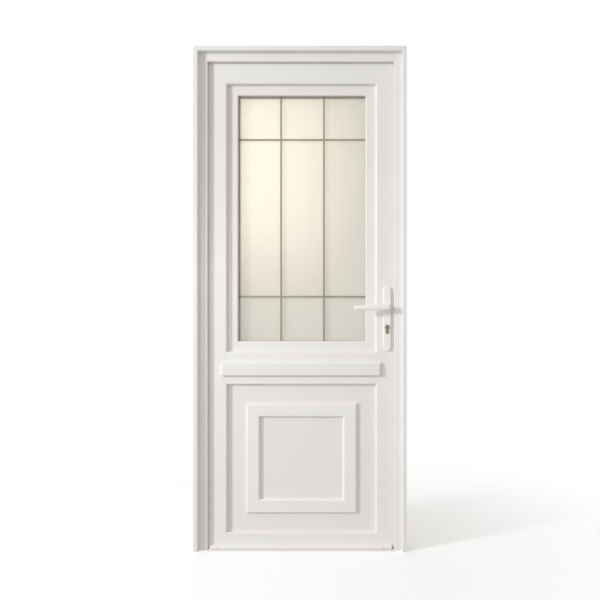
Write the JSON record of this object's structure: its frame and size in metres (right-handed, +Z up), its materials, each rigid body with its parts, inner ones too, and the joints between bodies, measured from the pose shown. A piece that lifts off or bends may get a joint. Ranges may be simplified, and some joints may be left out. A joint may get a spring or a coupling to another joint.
{
  "type": "pvc front door",
  "caption": "Half-glazed white PVC entrance door in its frame, with frosted barred glazing, a raised square panel, a ledge and a lever handle.",
  "frame": {"origin": "middle of the frame's underside, on the floor, half way through the frame's depth", "axes": "+X to the right as seen from outside, +Y inwards into the building, +Z up"},
  "size_m": [0.907, 0.168, 2.15],
  "materials": {
    "white_pvc": "smooth white extruded PVC",
    "white_coat": "white powder coat on die-cast metal",
    "rubber": "dark grey seal rubber",
    "aluminium": "mill finish",
    "steel": "zinc plated",
    "brass": "dull brass",
    "frosted_glass": "satin frosted"
  },
  "bodies": {
    "frame": {"frame": "white_pvc", "threshold": "white_coat", "frame_seal": "rubber", "keep_plate": "steel", "hinge_lower_frame_half": "white_coat", "hinge_middle_frame_half": "white_coat", "hinge_upper_frame_half": "white_coat"},
    "leaf": {"leaf_frame": "white_pvc", "transom": "white_pvc", "leaf_seal": "rubber", "bead_outer_left": "white_pvc", "bead_outer_right": "white_pvc", "bead_outer_top": "white_pvc", "bead_outer_bottom": "white_pvc", "bead_inner_left": "white_pvc", "bead_inner_right": "white_pvc", "bead_inner_top": "white_pvc", "bead_inner_bottom": "white_pvc", "gasket_outer": "rubber", "gasket_inner": "rubber", "pane_outer": "frosted_glass", "pane_inner": "frosted_glass", "glass_spacer": "aluminium", "lattice": "brass", "lower_panel": "white_pvc", "panel_bead_left": "white_pvc", "panel_bead_right": "white_pvc", "panel_bead_top": "white_pvc", "panel_bead_bottom": "white_pvc", "ledge": "white_pvc", "weather_bar": "white_pvc", "weather_bar_cap_left": "white_pvc", "weather_bar_cap_right": "white_pvc", "handle_plate_outer": "white_coat", "handle_plate_inner": "white_coat", "plate_screw_upper": "steel", "plate_screw_lower": "steel", "lock_cylinder": "brass", "lock_faceplate": "steel", "hinge_lower_leaf_half": "white_coat", "hinge_middle_leaf_half": "white_coat", "hinge_upper_leaf_half": "white_coat"},
    "handle": {"lever_outer": "white_coat", "lever_inner": "white_coat", "spindle": "steel"},
    "latch": {"latch_bolt": "steel"}
  },
  "joints": [
    {"name": "door_swing", "type": "hinge", "parent": "frame", "child": "leaf", "pos_m": [-0.436, 0.0695, 0], "axis": [0, 0, 1], "range_deg": [0, 110]},
    {"name": "handle_turn", "type": "hinge", "parent": "leaf", "child": "handle", "pos_m": [0.37, 0.0275, 1.039], "axis": [0, -1, 0], "range_deg": [0, 40], "stiffness_Nm_per_rad": 1.5, "springref_deg": -28.65},
    {"name": "latch_slide", "type": "slide", "parent": "leaf", "child": "latch", "axis": [-1, 0, 0], "range_m": [0, 0.0085]}
  ],
  "couplings": [
    {"joint": "latch_slide", "follows": "handle_turn", "m_per_rad": 0.0115}
  ]
}
